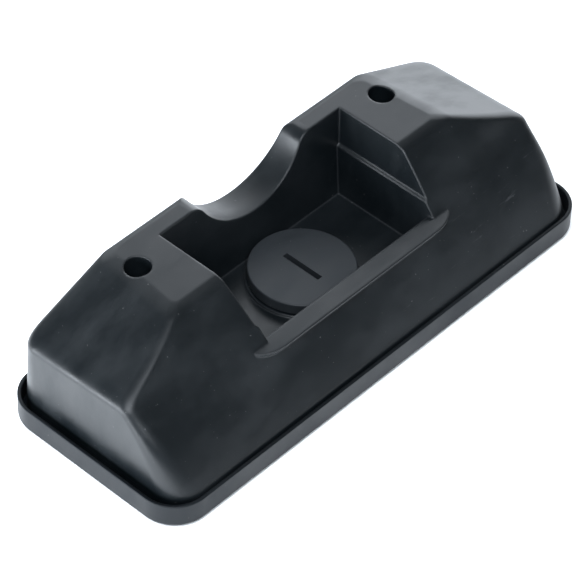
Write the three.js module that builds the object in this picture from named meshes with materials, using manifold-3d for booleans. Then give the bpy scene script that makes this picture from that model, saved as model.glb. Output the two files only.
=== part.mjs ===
// Bait station: a screwed-down moulded housing on a shallow base tray, with a coin-slot filler cap
// in an open recess. Millimetres, +Z up, origin at the centre of the resting face.
// X runs along the station, -Y is the sloped front with the lip, +Y is the near-upright rear.
import * as THREE from "three";
import { mergeVertices } from "three/addons/utils/BufferGeometryUtils.js";
import Module from "manifold-3d";

const wasm = await Module();
wasm.setup();

// ---- driving dimensions ----
const LENGTH = 240; // over the tray's rim
const WIDTH = 93.4;
const HEIGHT = 58; // plateau above the tray's underside
const PAD_DROP = 0.8; // the anti-slip pads stand this far below the tray

const TRAY = { corner: 15.6, rimHeight: 10.8, rim: 1.6, plate: 2.2 };
const SEAT_GAP = 0.3; // clearance between pieces that rest on each other

const FOOT = TRAY.plate + SEAT_GAP; // the housing's lowest level
const SHELL = { side: 1.6, top: 1.8 }; // inward and downward offsets of the hollow
const SHOULDER = { z: 41, x: 114.6 };
const END_DRAFT = 0.012;
const PLATEAU = { halfLength: 75.6, skew: 0.1, front: -3.1, rear: 39 };
const END_SLOPE = 0.43; // fall of the end faces per millimetre
const END_BLEND = 6; // softening where the end face meets the end wall
const FRONT_FALL = { linear: -1.093, crown: 0.0048 };
const REAR_DRAFT = 0.1;
const FRONT_FOOT = -44.4; // the front runs straight down inside the rim from here
const SETBACK = { depth: 3.5, spread: 9, from: 58 }; // the front eases back towards its two shoulders
const FRONT_CORNER = { foot: 15, shoulder: 4.5, top: 3 };
const REAR_CORNER = { foot: 12, shoulder: 8, top: 5 };
const EDGE = { pull: 3, depth: 1.8 }; // softening of the plateau's edges

const RECESS = {
  floor: 18.7, wall: 2, floorWall: 2.2,
  halfTop: 51.5, halfAboveLedge: 48.9, halfBelowLedge: 47.8, halfFloor: 45.8,
  ledge: 41, rearTop: 30.1, rearFloor: 23.6, front: -22.2,
};
const LIP = { z: 35.8, plate: 2.2, under: 6, out: -30.7, halfStraight: 42, halfTip: 55.3, root: -25 };
const SCOOP = { radius: 31, centreZ: 69.5, shoulderRadius: 8, skin: 2 };

const CAP = { y: 1.16, radius: 21.8, crown: 5, top: 25, shank: 16.4, reach: 9.6 };
const COLLAR = { radius: 22.8, top: 19.7 };
const NECK = { bore: 18.2, outer: 20.4, bottom: 11.2 };
const COIN_SLOT = { length: 18.8, width: 2.4, depth: 5.5 };
const THREAD = { starts: 3, lead: 12, arc: 95, height: 1.2, width: 1.2, z: 13.4 };

const BORE = { x: 68.7, y: 23.2, radius: 5.4, wall: 2, bottom: 16, shelf: 2.4 };
const SCREW = { head: 4.3, headHeight: 3.2, shank: 2.4, length: 17, clearance: 2.75, tip: 3.4 };
const INSERT = { radius: 3.4, bore: 2.55, length: 7 };
const BOSS = { radius: 5.4, top: 12.6 };

const ENTRANCE = { x: 84, width: 22, top: 23 };
const CUP = { radius: 30, wall: 1.4, bottom: 2.5, height: 7.5 };
const ROD = { x: 92, y: -4, radius: 1.5, top: 34, head: 3, socket: 4.2, socketTop: 8 };
const BLOCK = { side: 25, height: 22, chamfer: 2.5, groove: 1.6 };
const PAD = { x: 98, y: 30, radius: 7, thickness: 1.6 };
const ANCHOR = { x: 104, y: 8, radius: 2.3 };

const black = new THREE.MeshStandardMaterial({ color: 0x1b1d20, roughness: 0.42, metalness: 0 });
const blackCap = new THREE.MeshStandardMaterial({ color: 0x24262a, roughness: 0.6, metalness: 0 });
const rubber = new THREE.MeshStandardMaterial({ color: 0x141414, roughness: 0.85, metalness: 0 });
const steel = new THREE.MeshStandardMaterial({ color: 0xb4b6ba, roughness: 0.3, metalness: 1 });
const brass = new THREE.MeshStandardMaterial({ color: 0xb08d48, roughness: 0.35, metalness: 1 });
const clearCup = new THREE.MeshStandardMaterial({ color: 0xd8d8d0, roughness: 0.45, metalness: 0 });
const grain = new THREE.MeshStandardMaterial({ color: 0x9c3f3a, roughness: 0.9, metalness: 0 });
const wax = new THREE.MeshStandardMaterial({ color: 0x2f6fa3, roughness: 0.6, metalness: 0 });

// ---- solids ----
const FINE = 36;
const COARSE = 16;

function solid(geometry) {
  const g = geometry.index ? geometry.toNonIndexed() : geometry.clone();
  g.deleteAttribute("normal");
  g.deleteAttribute("uv");
  const merged = mergeVertices(g, 1e-4);
  return new wasm.Manifold(
    new wasm.Mesh({
      numProp: 3,
      vertProperties: merged.attributes.position.array,
      triVerts: new Uint32Array(merged.index.array),
    }),
  );
}

function geometryOf(manifold) {
  const mesh = manifold.getMesh();
  const geometry = new THREE.BufferGeometry();
  geometry.setAttribute("position", new THREE.BufferAttribute(mesh.vertProperties, 3));
  geometry.setIndex(new THREE.BufferAttribute(mesh.triVerts, 1));
  geometry.computeVertexNormals();
  return geometry;
}

// A flat outline in X and Y, raised from one level to another.
function raised(shape, from, to, curveSegments = 8) {
  const geometry = new THREE.ExtrudeGeometry(shape, {
    depth: to - from, bevelEnabled: false, curveSegments,
  });
  return solid(geometry.translate(0, 0, from));
}

// A profile in X and Z, carried along Y.
function carried(shape, from, to, curveSegments = 12) {
  const geometry = new THREE.ExtrudeGeometry(shape, {
    depth: to - from, bevelEnabled: false, curveSegments,
  });
  return solid(geometry.rotateX(Math.PI / 2).translate(0, to, 0));
}

function turned(profile, x = 0, y = 0, segments = FINE) {
  const points = profile.map(([r, z]) => new THREE.Vector2(r, z));
  const geometry = new THREE.LatheGeometry(points, segments);
  return solid(geometry.rotateX(Math.PI / 2).translate(x, y, 0));
}

const drum = (radius, from, to, x = 0, y = 0, segments = FINE) =>
  turned([[0, from], [radius, from], [radius, to], [0, to]], x, y, segments);

const block = (sx, sy, from, to, x = 0, y = 0) =>
  solid(new THREE.BoxGeometry(sx, sy, to - from).translate(x, y, (from + to) / 2));

function roundedRectangle(length, width, radius) {
  const x = length / 2;
  const y = width / 2;
  const shape = new THREE.Shape();
  shape.moveTo(-x + radius, -y).lineTo(x - radius, -y);
  shape.absarc(x - radius, -y + radius, radius, -Math.PI / 2, 0, false);
  shape.lineTo(x, y - radius);
  shape.absarc(x - radius, y - radius, radius, 0, Math.PI / 2, false);
  shape.lineTo(-x + radius, y);
  shape.absarc(-x + radius, y - radius, radius, Math.PI / 2, Math.PI, false);
  shape.lineTo(-x, -y + radius);
  shape.absarc(-x + radius, -y + radius, radius, Math.PI, Math.PI * 1.5, false);
  return shape;
}

// A closed skin through rings of the same number of points, capped flat at both ends.
function loft(rings) {
  const count = rings[0].length;
  const positions = rings.flat(2);
  const faces = [];
  for (let level = 0; level < rings.length - 1; level++) {
    for (let i = 0; i < count; i++) {
      const a = level * count + i;
      const b = level * count + ((i + 1) % count);
      faces.push(a, b, b + count, a, b + count, a + count);
    }
  }
  const top = (rings.length - 1) * count;
  for (let i = 1; i < count - 1; i++) {
    faces.push(0, i + 1, i, top, top + i, top + i + 1);
  }
  const geometry = new THREE.BufferGeometry();
  geometry.setAttribute("position", new THREE.Float32BufferAttribute(positions, 3));
  geometry.setIndex(faces);
  return solid(geometry);
}

// ---- the housing's outer faces, as functions of height ----
const mix = (a, b, t) => a + (b - a) * THREE.MathUtils.clamp(t, 0, 1);

function edgePull(drop) {
  return drop < EDGE.depth ? EDGE.pull * (1 - drop / EDGE.depth) ** 2 : 0;
}

function frontY(z) {
  const drop = HEIGHT - z;
  const fall = FRONT_FALL.linear * drop + FRONT_FALL.crown * drop * drop;
  return Math.max(PLATEAU.front + fall + edgePull(drop), FRONT_FOOT);
}

// How far the front lies back of its middle line, out towards the shoulders.
function setback(z, x) {
  const out = THREE.MathUtils.smoothstep(Math.abs(x), SETBACK.from, SHOULDER.x);
  return SETBACK.depth * out * Math.exp(-(((z - SHOULDER.z) / SETBACK.spread) ** 2));
}

function rearY(z) {
  return PLATEAU.rear + REAR_DRAFT * (HEIGHT - z) - edgePull(HEIGHT - z);
}

// Half-length at a height: the upright end wall below, the sloped end face above, blended between.
function endX(z, y) {
  const wall = SHOULDER.x + END_DRAFT * (SHOULDER.z - z);
  const slope = PLATEAU.halfLength - PLATEAU.skew * y + (HEIGHT - z) / END_SLOPE;
  const blend = THREE.MathUtils.clamp(0.5 + (wall - slope) / (2 * END_BLEND), 0, 1);
  return mix(wall, slope, blend) - END_BLEND * blend * (1 - blend) - edgePull(HEIGHT - z);
}

function cornerRadius(corner, z) {
  if (z < SHOULDER.z) return mix(corner.foot, corner.shoulder, (z - FOOT) / (SHOULDER.z - FOOT));
  return mix(corner.shoulder, corner.top, (z - SHOULDER.z) / (HEIGHT - SHOULDER.z));
}

// One level of the housing, anticlockwise, drawn inwards by an inset.
function housingRing(z, profileZ, inset, steps = 5) {
  const front = frontY(profileZ) + inset;
  const rear = rearY(profileZ) - inset;
  const points = [];
  const corner = (sideX, edge, sideY, order) => {
    const radius = Math.max(cornerRadius(sideY < 0 ? FRONT_CORNER : REAR_CORNER, profileZ) - inset, 1);
    for (let i = 0; i <= steps; i++) {
      const angle = ((order > 0 ? i : steps - i) / steps) * (Math.PI / 2);
      const y = edge - sideY * radius * (1 - Math.sin(angle));
      const x = endX(profileZ, y) - inset - radius * (1 - Math.cos(angle));
      points.push([sideX * x, y + (sideY < 0 ? setback(profileZ, x) : 0), z]);
    }
  };
  const frontRadius = Math.max(cornerRadius(FRONT_CORNER, profileZ) - inset, 1);
  const reach = endX(profileZ, front + frontRadius) - inset - frontRadius;
  const along = [0, 0.35, 0.7].map((t) => mix(SETBACK.from, reach, t));
  for (const x of along) points.push([x, front + setback(profileZ, x), z]);
  corner(1, front, -1, -1);
  corner(1, rear, 1, 1);
  corner(-1, rear, 1, -1);
  corner(-1, front, -1, 1);
  for (const x of along.reverse()) points.push([-x, front + setback(profileZ, x), z]);
  return points;
}

function housingLoft(inset, drop, bottom) {
  const heights = [FOOT, 10.3, 16, 24, 31, 36, 38, 40, 41.5, 43, 45, 48, 52, 56.2, 56.8, 57.4, HEIGHT];
  const rings = heights.map((z) => housingRing(z - drop, z, inset));
  rings[0] = housingRing(bottom, FOOT, inset);
  return loft(rings);
}

// ---- housing ----
function recessVoid(grow) {
  const r = RECESS;
  const section = (z, half, rear) => {
    const front = r.front - grow;
    const y = rear + grow;
    const x = half + grow;
    return [[-x, front, z], [x, front, z], [x, y, z], [-x, y, z]];
  };
  const rearAt = (z) => mix(r.rearFloor, r.rearTop, (z - r.floor) / (HEIGHT - r.floor));
  const bottom = grow ? r.floor - r.floorWall : r.floor;
  return loft([
    section(bottom, r.halfFloor, r.rearFloor),
    section(r.ledge, r.halfBelowLedge, rearAt(r.ledge)),
    section(r.ledge + 1, r.halfAboveLedge, rearAt(r.ledge)),
    section(HEIGHT + 4, r.halfTop, r.rearTop),
  ]);
}

// The scoop's line in X and Z: plateau, rounded shoulder, hollow, rounded shoulder, plateau.
function scoopLine(shift) {
  const s = SCOOP;
  const round = s.shoulderRadius;
  const level = HEIGHT - round;
  const reach = s.radius + round;
  const tangent = Math.sqrt(reach ** 2 - (s.centreZ - level) ** 2);
  const lean = Math.atan2(tangent, s.centreZ - level);
  const line = [];
  const steps = 6;
  for (let i = 0; i <= steps; i++) {
    const angle = (i / steps) * lean;
    line.push([-tangent + round * Math.sin(angle), level + round * Math.cos(angle) - shift]);
  }
  for (let i = 1; i < 2 * steps; i++) {
    const angle = -lean + (i / (2 * steps)) * 2 * lean;
    line.push([s.radius * Math.sin(angle), s.centreZ - s.radius * Math.cos(angle) - shift]);
  }
  for (let i = steps; i >= 0; i--) {
    const angle = (i / steps) * lean;
    line.push([tangent - round * Math.sin(angle), level + round * Math.cos(angle) - shift]);
  }
  return line;
}

// A band between two lines in X and Z, the lower one run backwards to close it.
function scoopSolid(upper, lower, from, to) {
  const outline = [...upper, ...lower.slice().reverse()].map(([x, z]) => new THREE.Vector2(x, z));
  return carried(new THREE.Shape(outline.reverse()), from, to);
}

function lipOutline(root, inset) {
  const tip = LIP.halfTip - inset;
  const out = LIP.out + inset;
  const turn = LIP.root - 1 + inset / 2;
  const shape = new THREE.Shape();
  shape.moveTo(-tip, root).lineTo(-tip, turn);
  shape.quadraticCurveTo(-LIP.halfStraight - 9, out, -LIP.halfStraight, out);
  shape.lineTo(LIP.halfStraight, out);
  shape.quadraticCurveTo(LIP.halfStraight + 9, out, tip, turn);
  shape.lineTo(tip, root);
  return shape;
}

// The lip is a thin plate whose front edge runs back underneath to the housing's face.
function makeLip(inner) {
  const level = (inset, z) => lipOutline(RECESS.front + 1, inset).getPoints(8).map((p) => [p.x, p.y, z]);
  const whole = loft([level(4, LIP.z - LIP.under), level(0.2, LIP.z - 1), level(0, LIP.z)]);
  const below = block(LENGTH, 40, LIP.z - LIP.under - 1, LIP.z - LIP.plate, 0, LIP.root);
  return whole.subtract(inner.intersect(below));
}

function entrance(x) {
  const half = ENTRANCE.width / 2;
  const shape = new THREE.Shape();
  shape.moveTo(half, ENTRANCE.top - half).absarc(0, ENTRANCE.top - half, half, 0, Math.PI, false);
  shape.lineTo(-half, 0).lineTo(half, 0);
  return carried(shape, WIDTH / 2 - 12, WIDTH / 2 + 4, 6).translate([x, 0, 0]);
}

// A helical rib on a round wall, for the cap's three-start thread.
function helixRib(wallRadius, outward, startAngle, startZ) {
  const steps = 10;
  const root = wallRadius - outward * 0.5;
  const crest = wallRadius + outward * THREAD.height;
  const rings = [];
  for (let i = 0; i <= steps; i++) {
    const turn = (THREAD.arc * i) / steps;
    const angle = THREE.MathUtils.degToRad(startAngle + turn);
    const z = startZ + (THREAD.lead * turn) / 360;
    const half = THREAD.width / 2;
    const section = [[root, -half], [crest, -half * 0.6], [crest, half * 0.6], [root, half]];
    if (outward < 0) section.reverse();
    rings.push(section.map(([r, dz]) => [r * Math.cos(angle), r * Math.sin(angle), z + dz]).reverse());
  }
  return loft(rings);
}

function makeHousing() {
  const outer = housingLoft(0, 0, FOOT);
  const inner = housingLoft(SHELL.side, SHELL.top, FOOT - 2);
  // Inner walls are trimmed just under the outer faces, so that no two faces coincide.
  const core = housingLoft(0.5, 0.5, FOOT);
  const plateau = scoopLine(0);
  const skinTop = scoopLine(-1).map(([x, z]) => [x, Math.min(z, HEIGHT - 0.8)]);
  const scoopSkin = scoopSolid(skinTop, scoopLine(SCOOP.skin), RECESS.rearFloor, WIDTH / 2);
  let body = outer.subtract(inner).add(recessVoid(RECESS.wall).intersect(core)).add(scoopSkin.intersect(core));
  for (const side of [-1, 1]) {
    const low = BORE.bottom - BORE.shelf;
    body = body.add(drum(BORE.radius + BORE.wall, low, HEIGHT - 1, side * BORE.x, BORE.y).intersect(core));
  }
  body = body.add(drum(NECK.outer, NECK.bottom, RECESS.floor - 1, 0, CAP.y));
  body = body.subtract(frontVoid()).add(makeLip(inner)).subtract(recessVoid(0));
  const sky = [[plateau[0][0], HEIGHT + 9], [-plateau[0][0], HEIGHT + 9]];
  body = body.subtract(scoopSolid(sky, plateau, RECESS.rearFloor - 6, WIDTH / 2 + 4));
  body = body.add(drum(COLLAR.radius, RECESS.floor - 1, COLLAR.top, 0, CAP.y).intersect(recessVoid(1)));
  body = body.subtract(drum(NECK.bore, NECK.bottom - 1, COLLAR.top + 1, 0, CAP.y));
  for (let i = 0; i < THREAD.starts; i++) {
    const rib = helixRib(NECK.bore, -1, (360 * i) / THREAD.starts, THREAD.z - 1);
    body = body.add(rib.translate([0, CAP.y, 0]));
  }
  for (const side of [-1, 1]) {
    body = body.subtract(drum(BORE.radius, BORE.bottom, HEIGHT + 5, side * BORE.x, BORE.y));
    body = body.subtract(drum(SCREW.clearance, 5, BORE.bottom + 1, side * BORE.x, BORE.y, COARSE));
    body = body.subtract(entrance(side * ENTRANCE.x));
  }
  return body;
}

// What is open in front of the recess, above the lip: the recess's own walls carried forwards.
function frontVoid() {
  const r = RECESS;
  const section = (z, half) => [[-half, -70, z], [half, -70, z], [half, r.front + 1, z], [-half, r.front + 1, z]];
  const lipHalf = mix(r.halfFloor, r.halfBelowLedge, (LIP.z - r.floor) / (r.ledge - r.floor));
  return loft([
    section(LIP.z - 0.4, lipHalf),
    section(r.ledge, r.halfBelowLedge),
    section(r.ledge + 1, r.halfAboveLedge),
    section(HEIGHT + 4, r.halfTop),
  ]);
}

// ---- base tray ----
function makeTray() {
  const outline = roundedRectangle(LENGTH, WIDTH, TRAY.corner);
  const inside = roundedRectangle(LENGTH - 2 * TRAY.rim, WIDTH - 2 * TRAY.rim, TRAY.corner - TRAY.rim);
  let tray = raised(outline, 0, TRAY.rimHeight).subtract(raised(inside, TRAY.plate, TRAY.rimHeight + 1));
  for (const side of [-1, 1]) {
    tray = tray.subtract(block(ENTRANCE.width + 6, 12, TRAY.plate, 20, side * ENTRANCE.x, WIDTH / 2));
    tray = tray.add(drum(BOSS.radius, TRAY.plate - 1, BOSS.top, side * BORE.x, BORE.y, COARSE));
    const insertSeat = BOSS.top - INSERT.length - SEAT_GAP;
    tray = tray.subtract(drum(INSERT.radius + SEAT_GAP, insertSeat, 20, side * BORE.x, BORE.y, COARSE));
    tray = tray.subtract(drum(SCREW.clearance, SCREW.tip - 0.6, 20, side * BORE.x, BORE.y, COARSE));
    tray = tray.add(drum(ROD.socket, TRAY.plate - 1, ROD.socketTop, side * ROD.x, ROD.y, COARSE));
    tray = tray.subtract(drum(ROD.radius + SEAT_GAP, TRAY.plate, 20, side * ROD.x, ROD.y, COARSE));
    tray = tray.subtract(drum(ANCHOR.radius, -1, 9, side * ANCHOR.x, ANCHOR.y, COARSE));
    for (const end of [-1, 1]) {
      const seat = drum(PAD.radius + SEAT_GAP, -1, PAD.thickness - PAD_DROP + SEAT_GAP, side * PAD.x, end * PAD.y, COARSE);
      tray = tray.subtract(seat);
    }
  }
  const fence = CUP.radius + SEAT_GAP;
  const ring = [[fence, 1], [fence + 1.4, 1], [fence + 1.4, 4.2], [fence, 4.2], [fence, 1]];
  return tray.add(turned(ring, 0, CAP.y));
}

// ---- filler cap, its ring, and the bait ----
function makeCap() {
  const crownUnder = CAP.top - CAP.crown;
  const shankOuter = CAP.shank;
  let cap = turned([
    [0, crownUnder - 2], [shankOuter - 2, crownUnder - 2], [shankOuter - 2, CAP.reach],
    [shankOuter, CAP.reach], [shankOuter, crownUnder], [CAP.radius, crownUnder],
    [CAP.radius, CAP.top - 0.5], [CAP.radius - 0.5, CAP.top], [0, CAP.top],
  ], 0, 0, 56);
  const well = block(COIN_SLOT.width + 3, COIN_SLOT.length + 3, CAP.top - COIN_SLOT.depth - 1.6, CAP.top - 1);
  cap = cap.add(well);
  cap = cap.subtract(block(COIN_SLOT.width, COIN_SLOT.length, CAP.top - COIN_SLOT.depth, CAP.top + 1));
  for (let i = 0; i < THREAD.starts; i++) {
    const startZ = THREAD.z - 1 - THREAD.lead / THREAD.starts / 2;
    cap = cap.add(helixRib(shankOuter, 1, (360 * i) / THREAD.starts, startZ));
  }
  return cap.translate([0, CAP.y, 0]);
}

function makeORing() {
  const ring = new THREE.TorusGeometry(CAP.shank + SEAT_GAP + 0.6, 0.6, 8, 32);
  return solid(ring.translate(0, CAP.y, CAP.top - CAP.crown - 1.1));
}

function makeCup() {
  const c = CUP;
  return turned([
    [0, c.bottom], [c.radius, c.bottom], [c.radius, c.bottom + c.height],
    [c.radius - c.wall, c.bottom + c.height], [c.radius - c.wall, c.bottom + c.wall], [0, c.bottom + c.wall],
  ], 0, CAP.y);
}

function makeGrain() {
  const c = CUP;
  const radius = c.radius - c.wall - SEAT_GAP;
  const low = c.bottom + c.wall + SEAT_GAP;
  return turned([[0, low], [radius, low], [radius, low + 1.2], [radius * 0.7, low + 2.6], [0, low + 3.4]], 0, CAP.y);
}

// ---- fasteners and tower fittings ----
function makeScrew(x) {
  const seat = BORE.bottom + 1 + SEAT_GAP;
  const under = seat + SEAT_GAP;
  const screw = turned([
    [0, under - SCREW.length + 3], [1.2, under - SCREW.length + 3], [SCREW.shank, under - SCREW.length + 4.6],
    [SCREW.shank, under], [SCREW.head, under], [SCREW.head, under + SCREW.headHeight - 1],
    [SCREW.head - 1.2, under + SCREW.headHeight], [0, under + SCREW.headHeight],
  ], x, BORE.y, COARSE);
  const socket = new THREE.CylinderGeometry(1.9, 1.9, 4, 6).rotateX(Math.PI / 2);
  return screw.subtract(solid(socket.translate(x, BORE.y, under + SCREW.headHeight + 0.2)));
}

function makeWasher(x) {
  const low = BORE.bottom + SEAT_GAP;
  return turned([[2.75, low], [4.9, low], [4.9, low + 1], [2.75, low + 1], [2.75, low]], x, BORE.y, COARSE);
}

function makeInsert(x) {
  const top = BOSS.top;
  const low = top - INSERT.length;
  const r = INSERT.radius;
  return turned([
    [INSERT.bore, low], [r, low], [r, low + 2.8], [r - 0.5, low + 3.1], [r - 0.5, low + 3.9],
    [r, low + 4.2], [r, top], [INSERT.bore, top], [INSERT.bore, low],
  ], x, BORE.y, COARSE);
}

function makeRod(x) {
  const low = TRAY.plate + SEAT_GAP;
  return turned([
    [0, low], [ROD.radius, low], [ROD.radius, ROD.top - 1.6], [ROD.head, ROD.top - 1.2],
    [ROD.head, ROD.top - 0.4], [ROD.head - 0.6, ROD.top], [0, ROD.top],
  ], x, ROD.y, 16);
}

function makeBaitBlock(x) {
  const half = BLOCK.side / 2;
  const c = BLOCK.chamfer;
  const g = BLOCK.groove;
  const low = ROD.socketTop + SEAT_GAP;
  const quarter = [[half, -half + c], [half, -3], [half - g, -3 + g], [half - g, 3 - g], [half, 3], [half, half - c]];
  const points = [0, 1, 2, 3].flatMap((turn) =>
    quarter.map(([px, py]) => new THREE.Vector2(px, py).rotateAround(new THREE.Vector2(), (turn * Math.PI) / 2)),
  );
  const body = raised(new THREE.Shape(points), low, low + BLOCK.height);
  return body.subtract(drum(ROD.radius + 0.5, 0, 40, 0, 0, 16)).translate([x, ROD.y, 0]);
}

const makePad = (x, y) => drum(PAD.radius, -PAD_DROP, PAD.thickness - PAD_DROP, x, y, COARSE);

// ---- the assembly ----
const station = new THREE.Group();
const raisedOnPads = new THREE.Group();
raisedOnPads.position.z = PAD_DROP;
station.add(raisedOnPads);

function place(name, manifold, material) {
  const mesh = new THREE.Mesh(geometryOf(manifold), material);
  mesh.name = name;
  raisedOnPads.add(mesh);
}

place("base_tray", makeTray(), black);
place("housing", makeHousing(), black);
place("filler_cap", makeCap(), blackCap);
place("cap_o_ring", makeORing(), rubber);
place("bait_cup", makeCup(), clearCup);
place("grain_bait", makeGrain(), grain);
for (const [side, sign] of [["left", -1], ["right", 1]]) {
  place(`fixing_screw_${side}`, makeScrew(sign * BORE.x), steel);
  place(`screw_washer_${side}`, makeWasher(sign * BORE.x), rubber);
  place(`threaded_insert_${side}`, makeInsert(sign * BORE.x), brass);
  place(`bait_rod_${side}`, makeRod(sign * ROD.x), steel);
  place(`bait_block_${side}`, makeBaitBlock(sign * ROD.x), wax);
  place(`anti_slip_pad_front_${side}`, makePad(sign * PAD.x, -PAD.y), rubber);
  place(`anti_slip_pad_rear_${side}`, makePad(sign * PAD.x, PAD.y), rubber);
}

export default station;
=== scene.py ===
"""Looks for the bait station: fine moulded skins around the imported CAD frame.

Shapes are written in millimetres and turned into metres by new_object(). Lamps, materials and noise
are in metres. X runs along the station, -Y is the sloped front with the lip, +Y the near-upright
rear, +Z is up. The housing, tray and cap are built here; the other pieces keep the CAD's own meshes.
"""

import math

import bmesh
import bpy
from mathutils import Matrix, Vector


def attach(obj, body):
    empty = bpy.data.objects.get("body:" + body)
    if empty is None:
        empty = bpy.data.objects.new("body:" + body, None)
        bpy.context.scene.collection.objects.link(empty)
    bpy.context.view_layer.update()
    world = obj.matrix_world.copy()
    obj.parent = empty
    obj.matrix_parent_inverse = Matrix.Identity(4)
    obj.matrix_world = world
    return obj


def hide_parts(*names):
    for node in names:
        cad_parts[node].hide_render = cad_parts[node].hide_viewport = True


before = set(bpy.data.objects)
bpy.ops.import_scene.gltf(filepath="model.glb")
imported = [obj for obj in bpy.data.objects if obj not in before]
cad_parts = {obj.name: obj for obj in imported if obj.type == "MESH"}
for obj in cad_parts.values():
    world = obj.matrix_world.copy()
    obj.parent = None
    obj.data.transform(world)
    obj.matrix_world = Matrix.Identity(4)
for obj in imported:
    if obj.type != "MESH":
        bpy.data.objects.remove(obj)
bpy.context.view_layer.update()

MM = 0.001

# ---- driving dimensions, the same as the CAD's ----
LENGTH, WIDTH, HEIGHT = 240.0, 93.4, 58.0
PAD_DROP = 0.8
TRAY = dict(corner=15.6, rim_height=10.8, rim=1.6, plate=2.2)
SEAT_GAP = 0.3
FOOT = TRAY["plate"] + SEAT_GAP
SHELL = dict(side=1.6, top=1.8)
SHOULDER_Z, SHOULDER_X = 41.0, 114.6
END_DRAFT, END_SLOPE, END_BLEND = 0.012, 0.43, 6.0
PLATEAU = dict(half_length=75.6, skew=0.1, front=-3.1, rear=39.0)
FRONT_LINEAR, FRONT_CROWN, FRONT_FOOT = -1.093, 0.0048, -44.4
REAR_DRAFT = 0.1
SETBACK = dict(depth=3.5, spread=9.0, start=58.0)
FRONT_CORNER = dict(foot=15.0, shoulder=4.5, top=3.0)
REAR_CORNER = dict(foot=12.0, shoulder=8.0, top=5.0)
EDGE = dict(pull=3.0, depth=1.8)
RECESS = dict(
    floor=18.7, wall=2.0, floor_wall=2.2, half_top=51.5, half_above=48.9, half_below=47.8,
    half_floor=45.8, ledge=41.0, rear_top=30.1, rear_floor=23.6, front=-22.2,
)
LIP = dict(
    z=35.8, plate=2.2, under=6.0, out=-30.7, half_straight=42.0, half_tip=55.3, root=-25.0,
    turn=-26.0, curl=9.0,
)
LIP_EDGE = ((4.0, LIP["under"]), (0.2, 1.0), (0.0, 0.0))  # inset and depth under the lip's top, foot first
SCOOP = dict(radius=31.0, centre_z=69.5, shoulder=8.0, skin=2.0)
CAP = dict(y=1.16, radius=21.8, crown=5.0, top=25.0, shank=16.4, reach=9.6)
COLLAR = dict(radius=22.8, top=19.7)
NECK = dict(bore=18.2, outer=20.4, bottom=11.2)
COIN_SLOT = dict(length=18.8, width=2.4, depth=5.5)
THREAD = dict(starts=3, lead=12.0, arc=95.0, height=1.2, width=1.2, z=13.4)
BORE = dict(x=68.7, y=23.2, radius=5.4, wall=2.0, bottom=16.0, shelf=2.4)
SCREW_CLEARANCE = 2.75
ENTRANCE = dict(x=84.0, width=22.0, top=23.0)
ROD = dict(x=92.0, y=-4.0, radius=1.5, socket=4.2, socket_top=8.0)
BOSS = dict(radius=5.4, top=12.6, insert=3.4, insert_length=7.0, tip=2.8)
CUP_RADIUS = 30.0
FENCE = dict(low=1.0, top=4.2, wall=1.4)  # the ring on the tray that keeps the cup in place
PAD = dict(x=98.0, y=30.0, radius=7.0, thickness=1.6)
ANCHOR = dict(x=104.0, y=8.0, radius=2.3)

# ---- building allowances ----
CORE_INSET = 0.5  # inner walls stop this far under the outer faces
SKIN_TRIM = 0.8  # the scoop's skin stops this far under the plateau
LIP_TRIM = 0.4  # the opening over the lip starts this far under its top
ROOT = 1.0  # how far a joined piece is sunk into what it stands on
BEYOND = 4.0  # how far a cutting tool reaches past what it cuts
FINE = 96  # segments of a round piece
CAP_SEGMENTS = 160
SMOOTH_ANGLE = math.radians(24)


# ---- mesh helpers ----
def new_object(name, points, faces):
    mesh = bpy.data.meshes.new(name)
    mesh.from_pydata([(x * MM, y * MM, (z + PAD_DROP) * MM) for x, y, z in points], [], faces)
    shape = bmesh.new()
    shape.from_mesh(mesh)
    bmesh.ops.remove_doubles(shape, verts=shape.verts, dist=1e-6)
    bmesh.ops.recalc_face_normals(shape, faces=shape.faces)
    shape.to_mesh(mesh)
    shape.free()
    made = bpy.data.objects.new(name, mesh)
    bpy.context.scene.collection.objects.link(made)
    return made


def loft(rings, name="loft", closed=False):
    """A skin through rings of the same number of points, capped at both ends unless it closes on itself."""
    count = len(rings[0])
    points = [point for ring in rings for point in ring]
    spans = len(rings) if closed else len(rings) - 1
    faces = []
    for level in range(spans):
        low = level * count
        high = ((level + 1) % len(rings)) * count
        for i in range(count):
            j = (i + 1) % count
            faces.append((low + i, low + j, high + j, high + i))
    if not closed:
        faces.append(tuple(reversed(range(count))))
        faces.append(tuple(range((len(rings) - 1) * count, len(rings) * count)))
    return new_object(name, points, faces)


def raised(outline, low, high):
    return loft([[(x, y, z) for x, y in outline] for z in (low, high)])


def carried(outline, low, high):
    """An outline in X and Z, carried along Y."""
    return loft([[(x, y, z) for x, z in outline] for y in (low, high)])


def quarter_turn(steps):
    return [math.pi / 2 * i / steps for i in range(steps + 1)]


def circle(radius, segments=FINE):
    turns = [2 * math.pi * i / segments for i in range(segments)]
    return [(radius * math.cos(a), radius * math.sin(a)) for a in turns]


def lathe(profile, x=0.0, y=0.0, segments=FINE, closed=False, name="lathe"):
    rings = [[(x + r * c, y + r * s, z) for c, s in circle(1.0, segments)] for r, z in profile]
    return loft(rings, name, closed)


def drum(radius, low, high, x=0.0, y=0.0, segments=FINE):
    return lathe([(radius, low), (radius, high)], x, y, segments)


def block(size_x, size_y, low, high, x=0.0, y=0.0):
    hx, hy = size_x / 2, size_y / 2
    return raised([(x - hx, y - hy), (x + hx, y - hy), (x + hx, y + hy), (x - hx, y + hy)], low, high)


def combine(target, tool, operation):
    modifier = target.modifiers.new(operation, "BOOLEAN")
    modifier.operation = operation
    modifier.solver = "EXACT"
    modifier.object = tool
    graph = bpy.context.evaluated_depsgraph_get()
    result = bpy.data.meshes.new_from_object(target.evaluated_get(graph))
    target.modifiers.clear()
    target.data = result
    bpy.data.objects.remove(tool)
    return target


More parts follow.
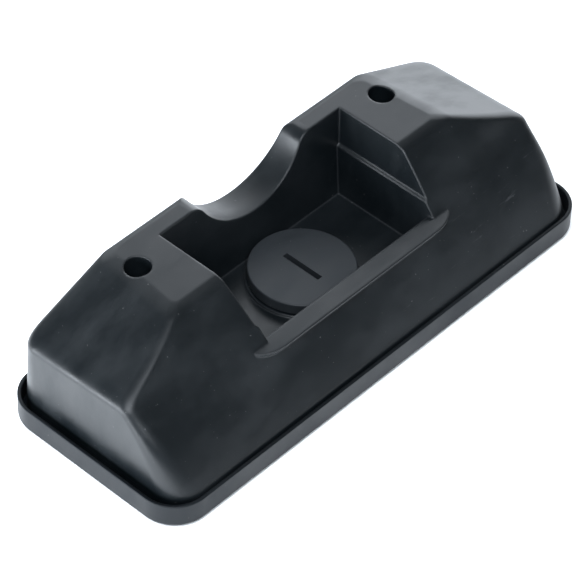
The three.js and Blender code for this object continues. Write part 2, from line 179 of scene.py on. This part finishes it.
def join(target, tool):
    return combine(target, tool, "UNION")


def cut(target, tool):
    return combine(target, tool, "DIFFERENCE")


def common(target, tool):
    return combine(target, tool, "INTERSECT")


def mix(a, b, t):
    return a + (b - a) * min(max(t, 0.0), 1.0)


# ---- the housing's outer faces, as functions of height ----
def edge_pull(drop):
    return EDGE["pull"] * (1 - drop / EDGE["depth"]) ** 2 if drop < EDGE["depth"] else 0.0


def front_y(z):
    drop = HEIGHT - z
    fall = FRONT_LINEAR * drop + FRONT_CROWN * drop * drop
    return max(PLATEAU["front"] + fall + edge_pull(drop), FRONT_FOOT)


def setback(z, x):
    """How far the front lies back of its middle line, out towards the shoulders."""
    t = min(max((abs(x) - SETBACK["start"]) / (SHOULDER_X - SETBACK["start"]), 0.0), 1.0)
    out = t * t * (3 - 2 * t)
    return SETBACK["depth"] * out * math.exp(-((z - SHOULDER_Z) / SETBACK["spread"]) ** 2)


def rear_y(z):
    drop = HEIGHT - z
    return PLATEAU["rear"] + REAR_DRAFT * drop - edge_pull(drop)


def end_x(z, y):
    """Half-length at a height: the upright wall below, the sloped end above, blended between."""
    wall = SHOULDER_X + END_DRAFT * (SHOULDER_Z - z)
    slope = PLATEAU["half_length"] - PLATEAU["skew"] * y + (HEIGHT - z) / END_SLOPE
    blend = min(max(0.5 + (wall - slope) / (2 * END_BLEND), 0.0), 1.0)
    return mix(wall, slope, blend) - END_BLEND * blend * (1 - blend) - edge_pull(HEIGHT - z)


def corner_radius(corner, z, inset):
    if z < SHOULDER_Z:
        radius = mix(corner["foot"], corner["shoulder"], (z - FOOT) / (SHOULDER_Z - FOOT))
    else:
        radius = mix(corner["shoulder"], corner["top"], (z - SHOULDER_Z) / (HEIGHT - SHOULDER_Z))
    return max(radius - inset, 1.0)


def housing_ring(z, profile_z, inset, steps=14, along=10):
    front_r = corner_radius(FRONT_CORNER, profile_z, inset)
    rear_r = corner_radius(REAR_CORNER, profile_z, inset)
    front = front_y(profile_z) + inset
    rear = rear_y(profile_z) - inset
    half = []
    for i in range(steps + 1):
        angle = math.pi / 2 * (1 - i / steps)
        half.append((front + front_r * (1 - math.sin(angle)), front_r * (1 - math.cos(angle))))
    for i in range(1, along):
        half.append((mix(front + front_r, rear - rear_r, i / along), 0.0))
    for i in range(steps + 1):
        angle = math.pi / 2 * i / steps
        half.append((rear - rear_r * (1 - math.sin(angle)), rear_r * (1 - math.cos(angle))))
    reach = end_x(profile_z, front + front_r) - inset - front_r
    spread = [mix(SETBACK["start"], reach, i / along) for i in range(along)]
    right = [(x, front + setback(profile_z, x), z) for x in spread]
    for i, (y, pull) in enumerate(half):
        x = end_x(profile_z, y) - inset - pull
        right.append((x, y + (setback(profile_z, x) if i <= steps else 0.0), z))
    left = [(-x, y, z) for x, y, z in reversed(right)]
    return right + left


def housing_loft(inset, drop, bottom):
    levels = [FOOT, 6.0, 9.6]
    levels += [mix(10.4, 37.0, i / 18) for i in range(19)]
    levels += [mix(37.5, 46.0, i / 17) for i in range(18)]
    levels += [mix(47.0, 56.0, i / 9) for i in range(10)]
    levels += [HEIGHT - EDGE["depth"] * (1 - i / 8) for i in range(9)]
    rings = [housing_ring(z - drop, z, inset) for z in levels]
    rings[0] = housing_ring(bottom, FOOT, inset)
    return loft(rings, "housing_skin")


# ---- housing ----
def recess_void(grow):
    r = RECESS

    def section(z, half, rear):
        x, low, high = half + grow, r["front"] - grow, rear + grow
        return [(-x, low, z), (x, low, z), (x, high, z), (-x, high, z)]

    def rear_at(z):
        return mix(r["rear_floor"], r["rear_top"], (z - r["floor"]) / (HEIGHT - r["floor"]))

    bottom = r["floor"] - (r["floor_wall"] if grow else 0.0)
    return loft([
        section(bottom, r["half_floor"], r["rear_floor"]),
        section(r["ledge"], r["half_below"], rear_at(r["ledge"])),
        section(r["ledge"] + 1, r["half_above"], rear_at(r["ledge"])),
        section(HEIGHT + BEYOND, r["half_top"], r["rear_top"]),
    ])


def front_void():
    """What is open in front of the recess, above the lip: the recess's walls carried forwards."""
    r = RECESS

    near, far = -70.0, r["front"] + ROOT

    def section(z, half):
        return [(-half, near, z), (half, near, z), (half, far, z), (-half, far, z)]

    lip_half = mix(r["half_floor"], r["half_below"], (LIP["z"] - r["floor"]) / (r["ledge"] - r["floor"]))
    return loft([
        section(LIP["z"] - LIP_TRIM, lip_half),
        section(r["ledge"], r["half_below"]),
        section(r["ledge"] + 1, r["half_above"]),
        section(HEIGHT + BEYOND, r["half_top"]),
    ])


def scoop_line(shift, steps=16):
    """Plateau, rounded shoulder, hollow, rounded shoulder, plateau, as X and Z."""
    radius, turn = SCOOP["radius"], SCOOP["shoulder"]
    level = HEIGHT - turn
    rise = SCOOP["centre_z"] - level
    tangent = math.sqrt((radius + turn) ** 2 - rise ** 2)
    lean = math.atan2(tangent, rise)
    line = []
    for i in range(steps + 1):
        angle = lean * i / steps
        line.append((-tangent + turn * math.sin(angle), level + turn * math.cos(angle) - shift))
    for i in range(1, 2 * steps):
        angle = -lean + lean * i / steps
        line.append((radius * math.sin(angle), SCOOP["centre_z"] - radius * math.cos(angle) - shift))
    for i in range(steps, -1, -1):
        angle = lean * i / steps
        line.append((tangent - turn * math.sin(angle), level + turn * math.cos(angle) - shift))
    return line


def quadratic(start, handle, end, steps=16):
    points = []
    for i in range(1, steps + 1):
        t = i / steps
        weights = ((1 - t) ** 2, 2 * t * (1 - t), t * t)
        points.append(tuple(sum(w * p[k] for w, p in zip(weights, (start, handle, end))) for k in (0, 1)))
    return points


def lip_outline(inset):
    tip, out = LIP["half_tip"] - inset, LIP["out"] + inset
    edge_end = (LIP["half_straight"], out)
    handle = (LIP["half_straight"] + LIP["curl"], out)
    corner = (tip, LIP["turn"] + inset / 2)
    right = [edge_end] + quadratic(edge_end, handle, corner) + [(tip, RECESS["front"] + ROOT)]
    return [(-x, y) for x, y in reversed(right)] + right


def make_lip(inner):
    """The lip is a thin plate whose front edge runs back underneath to the housing's face."""
    whole = loft([[(x, y, LIP["z"] - depth) for x, y in lip_outline(inset)] for inset, depth in LIP_EDGE])
    low = LIP["z"] - LIP["under"] - ROOT
    below = block(LENGTH, 40, low, LIP["z"] - LIP["plate"], 0, LIP["root"])
    return cut(whole, common(inner, below))


def helix_rib(wall_radius, outward, start_angle, start_z, steps=40):
    """One thread start: outward is 1 on the cap's shank and -1 inside the neck."""
    root = wall_radius - outward * 0.5
    crest = wall_radius + outward * THREAD["height"]
    half = THREAD["width"] / 2
    rings = []
    for i in range(steps + 1):
        turn = THREAD["arc"] * i / steps
        angle = math.radians(start_angle + turn)
        z = start_z + THREAD["lead"] * turn / 360
        section = [(root, -half), (crest, -half * 0.6), (crest, half * 0.6), (root, half)]
        rings.append([(r * math.cos(angle), CAP["y"] + r * math.sin(angle), z + dz) for r, dz in section])
    return loft(rings)


def entrance(x, steps=24):
    """A round-topped doorway through the rear wall, in line with a notch in the tray's rim."""
    half = ENTRANCE["width"] / 2
    turns = [math.pi * i / steps for i in range(steps + 1)]
    arch = [(half * math.cos(a), ENTRANCE["top"] - half + half * math.sin(a)) for a in turns]
    outline = [(x + px, z) for px, z in arch + [(-half, 0.0), (half, 0.0)]]
    return carried(outline, WIDTH / 2 - 12, WIDTH / 2 + BEYOND)


def make_housing():
    def outer():
        return housing_loft(0.0, 0.0, FOOT)

    def inner():
        return housing_loft(SHELL["side"], SHELL["top"], FOOT - 2)

    def core():
        """Inner walls are trimmed just under the outer faces, so that no two faces coincide."""
        return housing_loft(CORE_INSET, CORE_INSET, FOOT)

    plateau = scoop_line(0.0)
    skin_top = [(x, min(z, HEIGHT - SKIN_TRIM)) for x, z in scoop_line(-1.0)]
    under = list(reversed(scoop_line(SCOOP["skin"])))
    body = cut(outer(), inner())
    body = join(body, common(recess_void(RECESS["wall"]), core()))
    body = join(body, common(carried(skin_top + under, RECESS["rear_floor"], WIDTH / 2), core()))
    for side in (-1, 1):
        low = BORE["bottom"] - BORE["shelf"]
        tube = drum(BORE["radius"] + BORE["wall"], low, HEIGHT - ROOT, side * BORE["x"], BORE["y"])
        body = join(body, common(tube, core()))
    body = join(body, drum(NECK["outer"], NECK["bottom"], RECESS["floor"] - ROOT, 0, CAP["y"]))
    body = cut(body, front_void())
    body = join(body, make_lip(inner()))
    body = cut(body, recess_void(0.0))
    reach = plateau[-1][0]
    sky = [(reach, HEIGHT + BEYOND), (-reach, HEIGHT + BEYOND)]
    body = cut(body, carried(plateau + sky, RECESS["rear_floor"] - 6, WIDTH / 2 + BEYOND))
    body = join(body, drum(COLLAR["radius"], RECESS["floor"] - ROOT, COLLAR["top"], 0, CAP["y"]))
    body = cut(body, drum(NECK["bore"], NECK["bottom"] - 1, COLLAR["top"] + 1, 0, CAP["y"]))
    for start in range(THREAD["starts"]):
        body = join(body, helix_rib(NECK["bore"], -1, 360 * start / THREAD["starts"], THREAD["z"] - 1))
    for side in (-1, 1):
        body = cut(body, drum(BORE["radius"], BORE["bottom"], HEIGHT + BEYOND, side * BORE["x"], BORE["y"]))
        body = cut(body, drum(SCREW_CLEARANCE, 5, BORE["bottom"] + 1, side * BORE["x"], BORE["y"], 48))
        body = cut(body, entrance(side * ENTRANCE["x"]))
    body.name = "housing_moulding"
    return body


# ---- tray ----
def rounded_outline(inset, steps=20):
    radius = max(TRAY["corner"] - inset, 1.0)
    hx, hy = LENGTH / 2 - inset - radius, WIDTH / 2 - inset - radius
    points = []
    for quarter, (sx, sy) in enumerate(((1, 1), (-1, 1), (-1, -1), (1, -1))):
        for i in range(steps + 1):
            angle = math.pi / 2 * (quarter + i / steps)
            points.append((sx * hx + radius * math.cos(angle), sy * hy + radius * math.sin(angle)))
    return points


def make_tray():
    rim, plate, top = TRAY["rim"], TRAY["plate"], TRAY["rim_height"]
    foot, soft = 1.4, 0.5  # radii of the outer lower edge and of the rim's two upper edges
    profile = [(foot * (1 - math.sin(a)), foot * (1 - math.cos(a))) for a in quarter_turn(6)]
    profile += [(soft * (1 - math.cos(a)), top - soft * (1 - math.sin(a))) for a in quarter_turn(4)]
    profile += [(rim - soft * (1 - math.sin(a)), top - soft * (1 - math.cos(a))) for a in quarter_turn(4)]
    profile += [(rim, plate)]
    rings = [[(x, y, z) for x, y in rounded_outline(inset)] for inset, z in profile]
    tray = loft(rings, "tray_moulding")
    for side in (-1, 1):
        tray = cut(tray, block(ENTRANCE["width"] + 6, 12, plate, 20, side * ENTRANCE["x"], WIDTH / 2))
        bore = (side * BORE["x"], BORE["y"])
        seat = BOSS["top"] - BOSS["insert_length"] - SEAT_GAP
        tray = join(tray, drum(BOSS["radius"], plate - 1, BOSS["top"], *bore))
        tray = cut(tray, drum(BOSS["insert"] + SEAT_GAP, seat, 20, *bore))
        tray = cut(tray, drum(SCREW_CLEARANCE, BOSS["tip"], 20, *bore))
        rod = (side * ROD["x"], ROD["y"])
        tray = join(tray, drum(ROD["socket"], plate - 1, ROD["socket_top"], *rod))
        tray = cut(tray, drum(ROD["radius"] + SEAT_GAP, plate, 20, *rod))
        tray = cut(tray, drum(ANCHOR["radius"], -1, 9, side * ANCHOR["x"], ANCHOR["y"]))
        for end in (-1, 1):
            depth = PAD["thickness"] - PAD_DROP + SEAT_GAP
            tray = cut(tray, drum(PAD["radius"] + SEAT_GAP, -1, depth, side * PAD["x"], end * PAD["y"]))
    inner = CUP_RADIUS + SEAT_GAP
    outer = inner + FENCE["wall"]
    section = [(inner, FENCE["low"]), (outer, FENCE["low"]), (outer, FENCE["top"]), (inner, FENCE["top"])]
    return join(tray, lathe(section, 0, CAP["y"], closed=True))


# ---- filler cap ----
def make_cap():
    under, shank, top = CAP["top"] - CAP["crown"], CAP["shank"], CAP["top"]
    soft, shank_wall, slot_wall, axis = 0.6, 2.0, 1.5, 0.02
    edge = [(CAP["radius"] - soft * (1 - math.cos(a)), top - soft * (1 - math.sin(a)))
            for a in quarter_turn(6)]
    cap = lathe([
        (axis, under - 2), (shank - shank_wall, under - 2), (shank - shank_wall, CAP["reach"]),
        (shank, CAP["reach"]), (shank, under), (CAP["radius"] - 0.3, under),
        (CAP["radius"], under + 0.3), *edge, (CAP["radius"] - 2.2, top), (axis, top),
    ], 0, CAP["y"], CAP_SEGMENTS, name="cap_moulding")
    slot_floor = top - COIN_SLOT["depth"]
    well = (COIN_SLOT["width"] + 2 * slot_wall, COIN_SLOT["length"] + 2 * slot_wall)
    cap = join(cap, block(*well, slot_floor - 1.6, top - 1, 0, CAP["y"]))
    cap = cut(cap, block(COIN_SLOT["width"], COIN_SLOT["length"], slot_floor, top + 1, 0, CAP["y"]))
    offset = THREAD["z"] - 1 - THREAD["lead"] / THREAD["starts"] / 2
    for start in range(THREAD["starts"]):
        cap = join(cap, helix_rib(shank, 1, 360 * start / THREAD["starts"], offset))
    return cap


# ---- materials ----
def node(tree, kind, **settings):
    made = tree.nodes.new(kind)
    for key, value in settings.items():
        setattr(made, key, value)
    return made


def noise_at(tree, scale, detail=4.0, rough=0.55, stretch=(1, 1, 1)):
    """Noise over the object's own coordinates, in features per metre."""
    place = node(tree, "ShaderNodeTexCoord")
    mapping = node(tree, "ShaderNodeMapping")
    mapping.inputs["Scale"].default_value = stretch
    made = node(tree, "ShaderNodeTexNoise")
    made.inputs["Scale"].default_value = scale
    made.inputs["Detail"].default_value = detail
    made.inputs["Roughness"].default_value = rough
    tree.links.new(place.outputs["Object"], mapping.inputs["Vector"])
    tree.links.new(mapping.outputs["Vector"], made.inputs["Vector"])
    return made.outputs["Fac"]


def ramp(tree, source, low, high, out_low=0.0, out_high=1.0):
    made = node(tree, "ShaderNodeMapRange")
    for key, value in zip(("From Min", "From Max", "To Min", "To Max"), (low, high, out_low, out_high)):
        made.inputs[key].default_value = value
    tree.links.new(source, made.inputs["Value"])
    return made.outputs["Result"]


def maths(tree, operation, a, b):
    made = node(tree, "ShaderNodeMath", operation=operation)
    for socket, value in zip(made.inputs, (a, b)):
        if isinstance(value, (int, float)):
            socket.default_value = value
        else:
            tree.links.new(value, socket)
    return made.outputs[0]


def blend_colour(tree, factor, a, b):
    made = node(tree, "ShaderNodeMix", data_type="RGBA")
    tree.links.new(factor, made.inputs["Factor"])
    for socket, value in ((made.inputs[6], a), (made.inputs[7], b)):
        if isinstance(value, tuple):
            socket.default_value = (*value, 1.0)
        else:
            tree.links.new(value, socket)
    return made.outputs[2]


def bumped(tree, height, distance, strength, normal=None):
    made = node(tree, "ShaderNodeBump")
    made.inputs["Distance"].default_value = distance
    made.inputs["Strength"].default_value = strength
    tree.links.new(height, made.inputs["Height"])
    if normal is not None:
        tree.links.new(normal, made.inputs["Normal"])
    return made.outputs["Normal"]


def start_material(name):
    made = bpy.data.materials.new(name)
    made.use_nodes = True
    shader = made.node_tree.nodes["Principled BSDF"]
    return made, made.node_tree, shader


# the colour of the painted highlight along the plastic's edges
EDGE_HIGHLIGHT_TONE = (0.035, 0.038, 0.042)
SCRATCH_TONE = (0.07, 0.072, 0.078)
DUST_TONE = (0.22, 0.22, 0.22)


def moulded_plastic(name, colour, rough, edge=0.0013, grain=0.06, haze=0.20, specular=0.5):
    """Injection-moulded black plastic: soft edges, fine grain, flow haze, scratches, dust, and a painted
    highlight along the edges.
    """
    made, tree, shader = start_material(name)
    link = tree.links.new
    soft = node(tree, "ShaderNodeBevel", samples=6)
    soft.inputs["Radius"].default_value = edge
    wave = noise_at(tree, 34, 3)
    fine = noise_at(tree, 2600, 2)
    normal = bumped(tree, wave, 0.0004, 0.30, soft.outputs["Normal"])
    normal = bumped(tree, fine, 0.00006, grain, normal)
    scratch = maths(tree, "MULTIPLY",
                    ramp(tree, noise_at(tree, 60, 6, 0.7, (1, 14, 5)), 0.63, 0.68),
                    ramp(tree, noise_at(tree, 12, 2), 0.5, 0.62))
    smear = ramp(tree, noise_at(tree, 26, 5, 0.6, (1, 2.2, 1)), 0.42, 0.72)
    dust = ramp(tree, noise_at(tree, 900, 1), 0.78, 0.81)
    dull = ramp(tree, smear, 0, 1, rough, rough + haze)
    dull = maths(tree, "ADD", dull, maths(tree, "MULTIPLY", scratch, 0.12))
    link(maths(tree, "ADD", dull, maths(tree, "MULTIPLY", dust, 0.3)), shader.inputs["Roughness"])
    facing = node(tree, "ShaderNodeVectorMath", operation="DOT_PRODUCT")
    link(soft.outputs["Normal"], facing.inputs[0])
    link(node(tree, "ShaderNodeNewGeometry").outputs["Normal"], facing.inputs[1])
    painted_edge_highlight = ramp(tree, facing.outputs["Value"], 0.99, 0.88)  # painted highlight: lighter where the softened normal turns away, along every edge
    lighter = tuple(c * 1.7 + 0.004 for c in colour)
    shade = blend_colour(tree, maths(tree, "MULTIPLY", smear, 0.5), colour, lighter)
    # painted highlight: the edges are lightened towards a lighter grey
    shade = blend_colour(tree, maths(tree, "MULTIPLY", painted_edge_highlight, 0.5), shade, EDGE_HIGHLIGHT_TONE)
    shade = blend_colour(tree, maths(tree, "MULTIPLY", scratch, 0.35), shade, SCRATCH_TONE)
    shade = blend_colour(tree, maths(tree, "MULTIPLY", dust, 0.5), shade, DUST_TONE)
    link(shade, shader.inputs["Base Color"])
    shader.inputs["Specular IOR Level"].default_value = specular
    link(normal, shader.inputs["Normal"])
    return made


def rubber_material(name, colour, rough=0.75):
    """Matt rubber with uneven bloom."""
    made, tree, shader = start_material(name)
    link = tree.links.new
    patch = noise_at(tree, 90, 4)
    link(ramp(tree, patch, 0.35, 0.7, rough - 0.08, rough + 0.12), shader.inputs["Roughness"])
    link(blend_colour(tree, patch, colour, tuple(c * 1.8 for c in colour)), shader.inputs["Base Color"])
    link(bumped(tree, noise_at(tree, 1800, 3), 0.0001, 0.25), shader.inputs["Normal"])
    return made


def metal_material(name, colour, rough, stretch):
    """Turned metal: marks drawn out by stretch, and a little staining."""
    made, tree, shader = start_material(name)
    link = tree.links.new
    brushed = noise_at(tree, 500, 4, 0.6, stretch)
    stain = noise_at(tree, 60, 4)
    shader.inputs["Metallic"].default_value = 1.0
    link(ramp(tree, brushed, 0.3, 0.7, rough, rough + 0.14), shader.inputs["Roughness"])
    link(blend_colour(tree, stain, colour, tuple(c * 0.75 for c in colour)), shader.inputs["Base Color"])
    link(bumped(tree, brushed, 0.00005, 0.2), shader.inputs["Normal"])
    return made


def bait_material(name, colour, fleck, grain_scale):
    """Dyed grain, loose or set in wax: rounded cells with lighter flecks."""
    made, tree, shader = start_material(name)
    link = tree.links.new
    cells = node(tree, "ShaderNodeTexVoronoi")
    cells.inputs["Scale"].default_value = grain_scale
    place = node(tree, "ShaderNodeTexCoord")
    link(place.outputs["Object"], cells.inputs["Vector"])
    specks = ramp(tree, noise_at(tree, grain_scale * 1.3, 2), 0.55, 0.68)
    tone = blend_colour(tree, specks, colour, fleck)
    shadow = ramp(tree, cells.outputs["Distance"], 0.2, 0.7)
    link(blend_colour(tree, shadow, tone, tuple(c * 0.45 for c in colour)), shader.inputs["Base Color"])
    link(ramp(tree, noise_at(tree, 120, 3), 0.3, 0.7, 0.5, 0.8), shader.inputs["Roughness"])
    hollow = maths(tree, "SUBTRACT", 1.0, cells.outputs["Distance"])
    link(bumped(tree, hollow, 0.0006, 0.7), shader.inputs["Normal"])
    return made


def milky_material(name, colour):
    """Natural polypropylene: cloudy and slightly see-through."""
    made, tree, shader = start_material(name)
    link = tree.links.new
    shader.inputs["Transmission Weight"].default_value = 0.25
    shader.inputs["Subsurface Weight"].default_value = 0.2
    shader.inputs["Subsurface Scale"].default_value = 0.002
    cloud = noise_at(tree, 70, 4)
    link(blend_colour(tree, cloud, colour, tuple(c * 0.86 for c in colour)), shader.inputs["Base Color"])
    link(ramp(tree, cloud, 0.3, 0.7, 0.3, 0.45), shader.inputs["Roughness"])
    link(bumped(tree, noise_at(tree, 900, 2), 0.00008, 0.15), shader.inputs["Normal"])
    return made


housing_plastic = moulded_plastic("housing_plastic_look", (0.0042, 0.0066, 0.0084), 0.34)
tray_plastic = moulded_plastic("tray_plastic_look", (0.005, 0.007, 0.009), 0.40, edge=0.0005, specular=0.2)
cap_plastic = moulded_plastic("cap_plastic_look", (0.021, 0.025, 0.029), 0.50, edge=0.0004, grain=0.2)
seal_rubber = rubber_material("seal_rubber_look", (0.016, 0.016, 0.016), 0.55)
pad_rubber = rubber_material("pad_rubber_look", (0.045, 0.045, 0.045))
screw_steel = metal_material("screw_steel_look", (0.62, 0.62, 0.63), 0.24, (1, 1, 1))
rod_steel = metal_material("rod_steel_look", (0.6, 0.6, 0.62), 0.2, (6, 6, 0.4))
insert_brass = metal_material("insert_brass_look", (0.72, 0.5, 0.2), 0.26, (0.4, 0.4, 6))
cup_milky = milky_material("cup_plastic_look", (0.68, 0.68, 0.63))
grain_dyed = bait_material("grain_look", (0.4, 0.07, 0.05), (0.62, 0.3, 0.16), 420)
wax_blue = bait_material("bait_wax_look", (0.04, 0.15, 0.36), (0.4, 0.42, 0.3), 300)


# ---- pieces ----
def finish_piece(piece, material, body, slot, *replaced):
    piece.data.materials.clear()
    piece.data.materials.append(material)
    for face in piece.data.polygons:
        face.use_smooth = True
        face.material_index = 0
    piece.data.set_sharp_from_angle(angle=SMOOTH_ANGLE)
    weighted = piece.modifiers.new("weighted_normals", "WEIGHTED_NORMAL")
    weighted.keep_sharp = True
    weighted.weight = 80
    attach(piece, body)
    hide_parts(*replaced)


finish_piece(make_housing(), housing_plastic, "cover", "housing_plastic", "housing")
finish_piece(make_tray(), tray_plastic, "base", "tray_plastic", "base_tray")
finish_piece(make_cap(), cap_plastic, "cap", "cap_plastic", "filler_cap")

# CAD meshes shown as they are, by the start of the node's name.
KEPT = {
    "cap_o_ring": seal_rubber,
    "bait_cup": cup_milky,
    "grain_bait": grain_dyed,
    "fixing_screw": screw_steel,
    "screw_washer": seal_rubber,
    "threaded_insert": insert_brass,
    "bait_rod": rod_steel,
    "bait_block": wax_blue,
    "anti_slip_pad": pad_rubber,
}
for name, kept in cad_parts.items():
    for start, material in KEPT.items():
        if name.startswith(start):
            for place in kept.material_slots:
                place.material = material


# ---- stage, lights, camera ----
def plain_material(name, colour, rough):
    made, _, shader = start_material(name)
    shader.inputs["Base Color"].default_value = (*colour, 1.0)
    shader.inputs["Roughness"].default_value = rough
    return made


bpy.ops.mesh.primitive_plane_add(size=12, location=(0, 0, 0))
floor = bpy.context.object
floor.name = "floor"
floor.data.materials.append(plain_material("floor_white", (0.86, 0.86, 0.86), 0.9))


LAMP_COLOUR = (0.87, 0.93, 1.0)
MIDDLE = (0.0, 0.0, 0.03)

# Name, direction, distance, size, power and aim, in metres and watts.
FLOOR_LAMPS = (
    ("floor_box", (-0.1, 0.0, 1.0), 2.0, (2.0, 2.0), 60, MIDDLE),
    ("floor_left", (-0.3, 0.1, 0.9), 0.5, (0.4, 0.5), 6, (-0.3, 0.03, 0.0)),
)
OBJECT_LAMPS = (
    ("back_box", (0.55, 0.75, 0.62), 1.3, (1.5, 0.9), 10.5, MIDDLE),
    ("right_box", (0.95, 0.4, 0.16), 1.3, (0.9, 0.5), 5, MIDDLE),
    ("left_box", (-0.95, 0.25, 0.10), 1.1, (1.2, 0.5), 24, MIDDLE),
    ("fill_box", (-0.42, -0.38, 0.80), 1.5, (0.9, 0.9), 20, MIDDLE),
)


def softbox(name, direction, distance, size, power, target):
    light = bpy.data.lights.new(name, "AREA")
    light.shape = "RECTANGLE"
    light.size, light.size_y = size
    light.energy = power
    light.color = LAMP_COLOUR
    made = bpy.data.objects.new(name, light)
    made.location = Vector(target) + Vector(direction).normalized() * distance
    made.rotation_euler = Vector(direction).to_track_quat("Z", "Y").to_euler()
    bpy.context.scene.collection.objects.link(made)
    return made


# The floor is a light table: its own lamps keep it white and leave the black plastic alone.
floor_lit = bpy.data.collections.new("floor_lit")
floor_lit.objects.link(floor)
for lamp in FLOOR_LAMPS:
    softbox(*lamp).light_linking.receiver_collection = floor_lit
for lamp in OBJECT_LAMPS:
    softbox(*lamp)

world = bpy.data.worlds.new("studio")
bpy.context.scene.world = world
world.use_nodes = True
sky = world.node_tree.nodes["Background"]
sky.inputs["Color"].default_value = (0.94, 0.97, 1.0, 1.0)
sky.inputs["Strength"].default_value = 0.14

# Degrees and millimetres: the camera looks at a point at height aim, then slides across and up.
VIEW = dict(azimuth=-48.57, elevation=44.95, roll=2.17, distance=1278.58, across=-4.75, up=-9.47, aim=25.0)
FIELD = 10.19  # degrees over the square picture


def aim_camera():
    az, el, roll = (math.radians(VIEW[k]) for k in ("azimuth", "elevation", "roll"))
    back = Vector((math.sin(az) * math.cos(el), -math.cos(az) * math.cos(el), math.sin(el)))
    right = (-back).cross(Vector((0, 0, 1))).normalized()
    up = right.cross(-back)
    place = back * VIEW["distance"] + right * VIEW["across"] + up * VIEW["up"]
    place += Vector((0, 0, VIEW["aim"] + PAD_DROP))
    across = right * math.cos(roll) + up * math.sin(roll)
    upright = up * math.cos(roll) - right * math.sin(roll)
    turn = Matrix((across, upright, back)).transposed().to_4x4()
    lens = bpy.data.cameras.new("main_camera")
    lens.sensor_width = 36
    lens.angle = math.radians(FIELD)
    lens.clip_end = 50
    camera = bpy.data.objects.new("main_camera", lens)
    camera.matrix_world = Matrix.Translation(place * MM) @ turn
    bpy.context.scene.collection.objects.link(camera)
    bpy.context.scene.camera = camera


aim_camera()
bpy.context.scene.view_settings.view_transform = "Standard"
